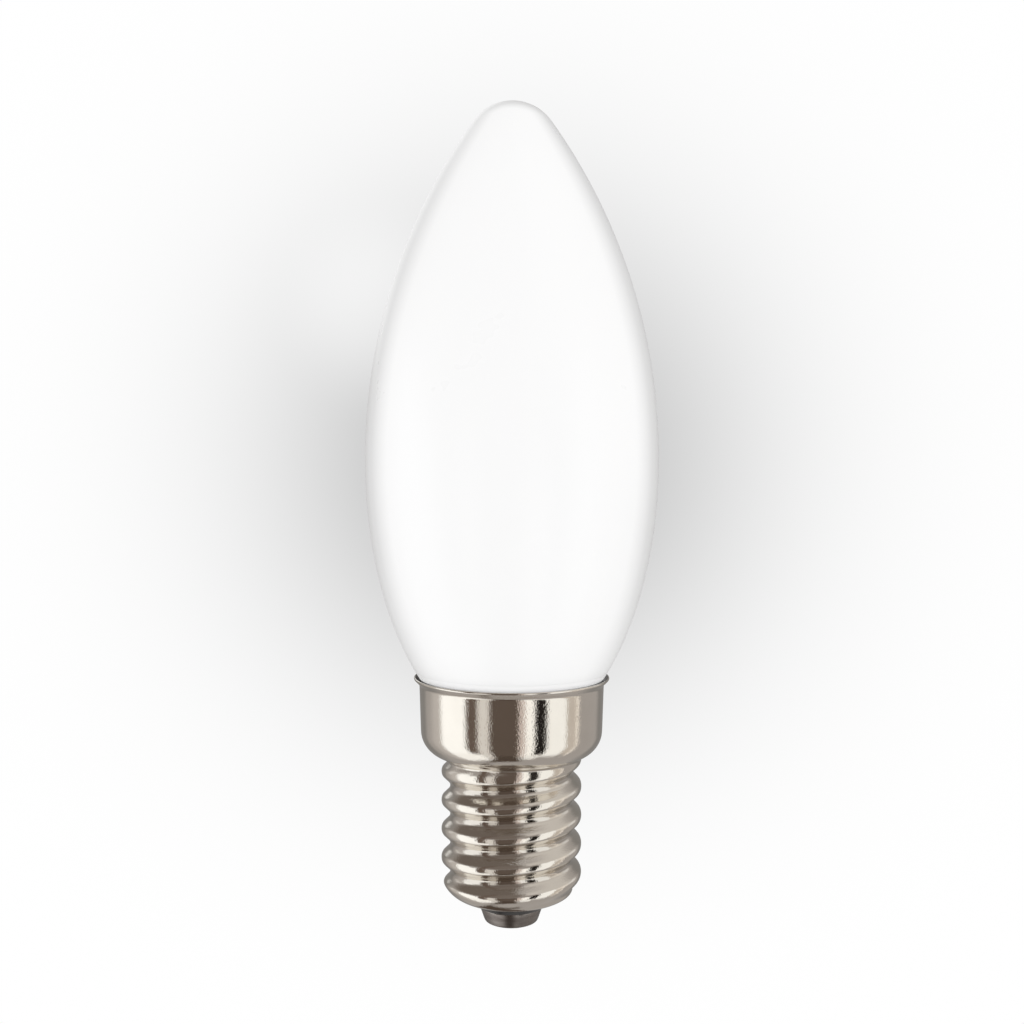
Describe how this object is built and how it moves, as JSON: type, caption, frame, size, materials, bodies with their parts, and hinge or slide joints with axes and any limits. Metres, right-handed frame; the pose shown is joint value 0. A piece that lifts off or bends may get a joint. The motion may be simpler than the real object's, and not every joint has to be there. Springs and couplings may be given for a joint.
{
  "type": "candle bulb",
  "caption": "Candle-shaped lamp with a smooth opal white glass on a nickel-plated 14 mm Edison screw cap, black glass insulator and domed centre contact.",
  "frame": {"origin": "lowest point of the centre contact, on the lamp's axis", "axes": "+Z along the axis from the contact to the glass tip; the lamp is round, and its thread starts at +X"},
  "size_m": [0.0284, 0.0284, 0.0801],
  "materials": {
    "opal_glass": "smooth glossy opal white, not clear",
    "nickel_plate": "bright nickel plate on drawn brass, warm grey, faintly grained",
    "black_glass": "glossy black cast glass",
    "contact_metal": "dull tinned brass",
    "cement": "matte resin and stone flour"
  },
  "bodies": {
    "root": {"glass_bulb": "opal_glass", "screw_cap": "nickel_plate", "cap_insulator": "black_glass", "centre_contact": "contact_metal", "basing_cement": "cement"}
  },
  "joints": []
}
